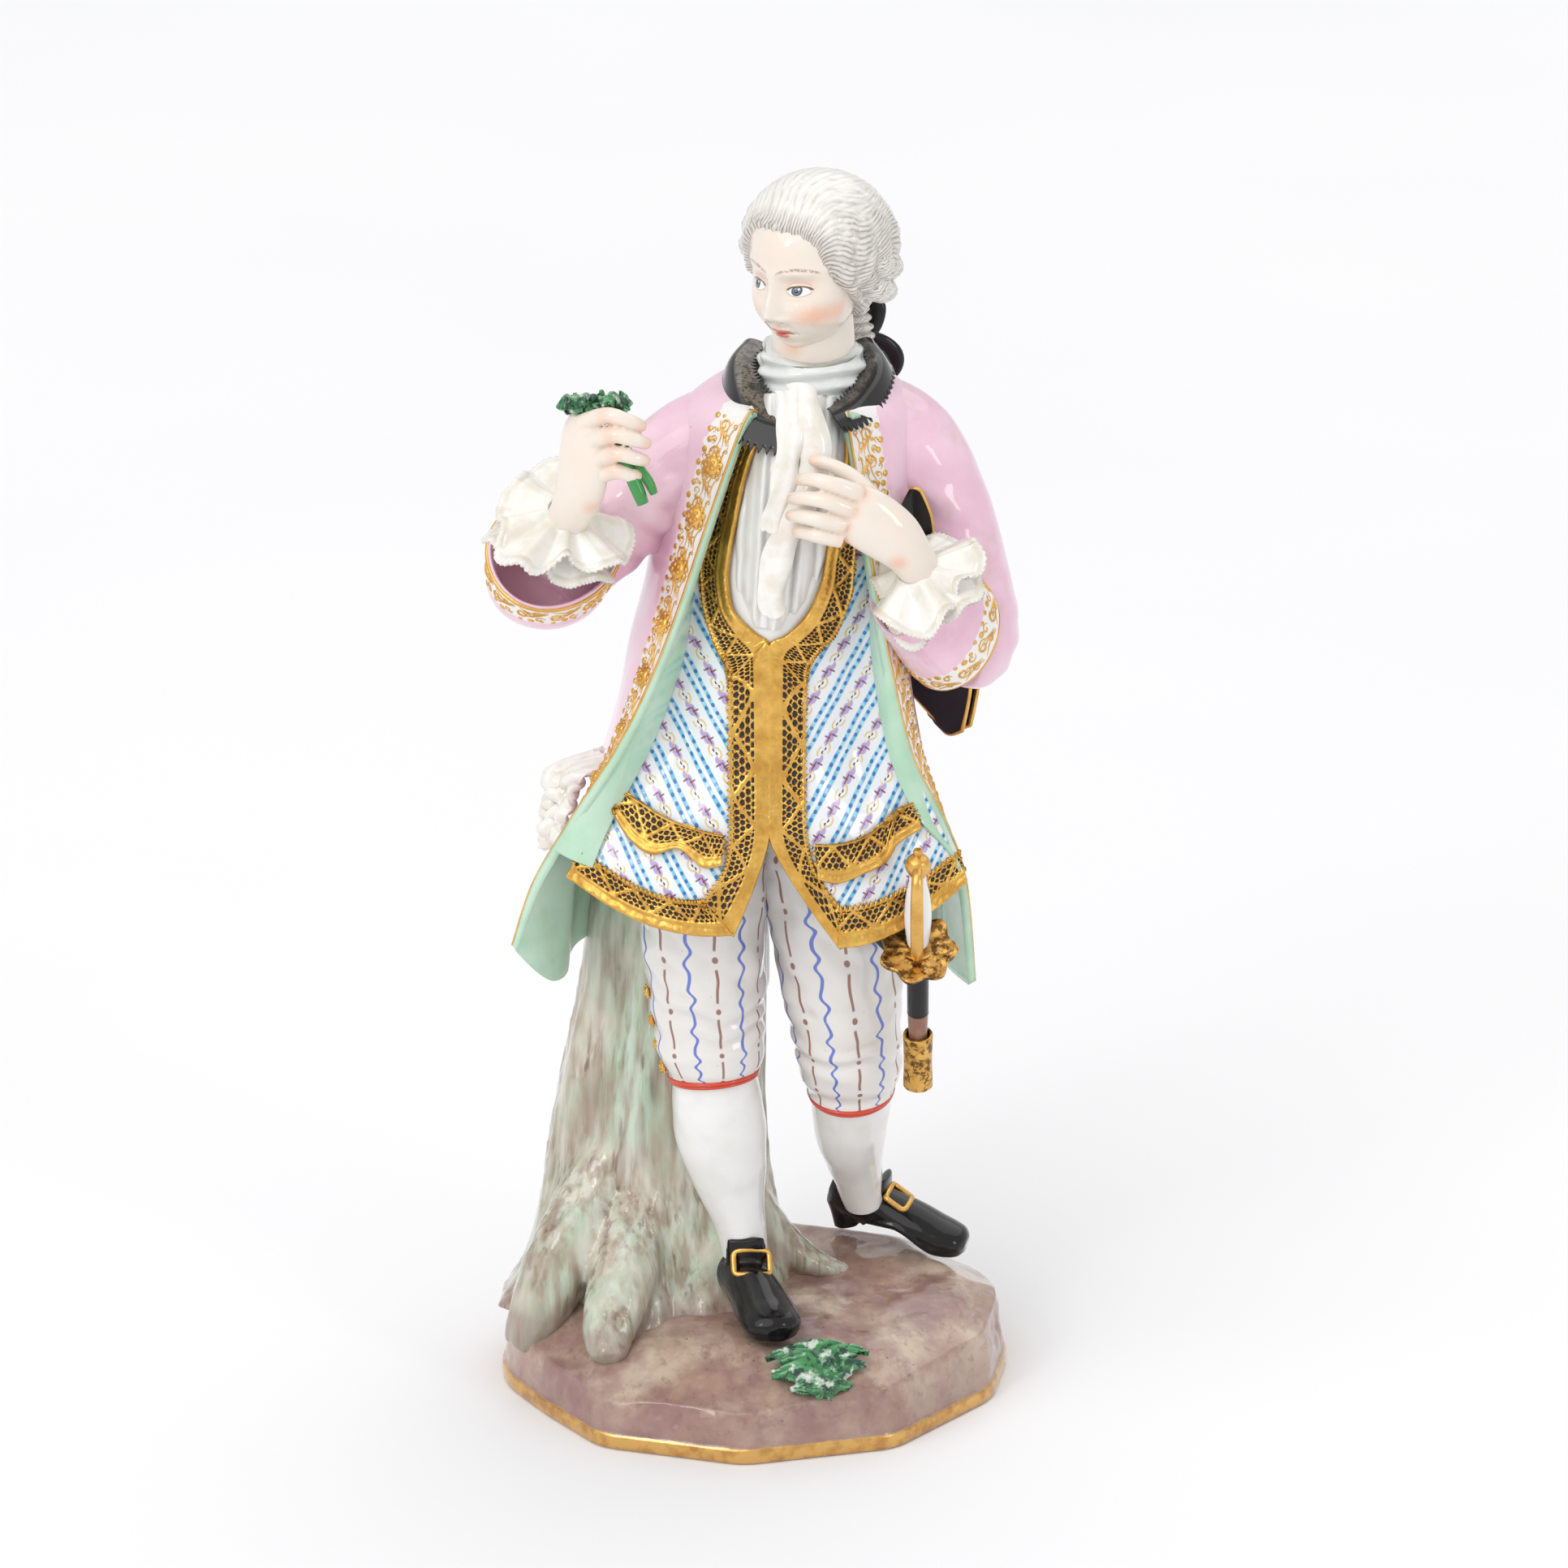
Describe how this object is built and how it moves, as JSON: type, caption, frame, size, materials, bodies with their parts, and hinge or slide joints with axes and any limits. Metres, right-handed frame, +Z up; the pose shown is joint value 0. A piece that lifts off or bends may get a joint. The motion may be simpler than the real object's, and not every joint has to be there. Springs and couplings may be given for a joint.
{
  "type": "porcelain figurine",
  "caption": "Standing gentleman in an open court coat and long laced waistcoat, one foot forward before a tree stump on a rocky base, holding a nosegay.",
  "frame": {"origin": "centre of the base's flat underside", "axes": "+Z up the figure, -Y is the front that the gentleman's coat opens towards, +X is his left"},
  "size_m": [0.0913, 0.075, 0.2195],
  "materials": {
    "rock_glaze": "glossy mauve-brown glaze",
    "bark_glaze": "glossy grey-green glaze with brushed brown",
    "leaf_glaze": "glossy green enamel",
    "breeches_enamel": "glossy white glaze with painted stripes",
    "white_glaze": "glossy clear glaze",
    "black_enamel": "glossy black enamel",
    "gilding": "burnished and brushed gilding on relief",
    "waistcoat_enamel": "glossy white glaze with painted stripes",
    "coat_enamel": "glossy pale pink enamel",
    "skin_glaze": "glossy warm white glaze",
    "hair_glaze": "glossy white glaze with grey strokes",
    "grip_glaze": "glossy white glaze",
    "brown_glaze": "glossy brown enamel"
  },
  "bodies": {
    "root": {"rock_base": "rock_glaze", "tree_stump": "bark_glaze", "base_leaf": "leaf_glaze", "right_breeches_leg": "breeches_enamel", "right_stocking": "white_glaze", "right_shoe": "black_enamel", "right_shoe_buckle": "gilding", "knee_buttons": "gilding", "left_breeches_leg": "breeches_enamel", "left_stocking": "white_glaze", "left_shoe": "black_enamel", "left_shoe_buckle": "gilding", "waistcoat_body": "waistcoat_enamel", "waistcoat_skirt_right": "waistcoat_enamel", "waistcoat_skirt_left": "waistcoat_enamel", "front_lace_right": "gilding", "front_lace_left": "gilding", "hem_lace_right": "gilding", "hem_lace_left": "gilding", "pocket_flap_right": "gilding", "pocket_flap_left": "gilding", "shirt_front": "white_glaze", "jabot": "white_glaze", "neckcloth": "white_glaze", "lace_collar_right": "black_enamel", "lace_collar_left": "black_enamel", "coat_front_right": "coat_enamel", "coat_back": "coat_enamel", "coat_front_left": "coat_enamel", "coat_skirt_right": "coat_enamel", "coat_skirt_back": "coat_enamel", "coat_skirt_left": "coat_enamel", "coat_buttons": "gilding", "handkerchief": "white_glaze", "right_sleeve": "coat_enamel", "right_cuff": "coat_enamel", "right_wrist_frill": "white_glaze", "right_hand": "skin_glaze", "nosegay_leaves": "leaf_glaze", "nosegay_stems": "leaf_glaze", "left_sleeve": "coat_enamel", "left_cuff": "coat_enamel", "left_wrist_frill": "white_glaze", "left_hand": "skin_glaze", "head": "skin_glaze", "hair": "hair_glaze", "side_curls": "hair_glaze", "hair_queue": "hair_glaze", "queue_bow": "black_enamel", "tricorne_hat": "black_enamel", "sword_pommel": "gilding", "sword_grip": "grip_glaze", "sword_knuckle_bow": "gilding", "sword_shell_guard": "gilding", "sword_hanger": "black_enamel", "scabbard": "black_enamel", "scabbard_core": "brown_glaze", "scabbard_sleeve": "gilding"}
  },
  "joints": []
}
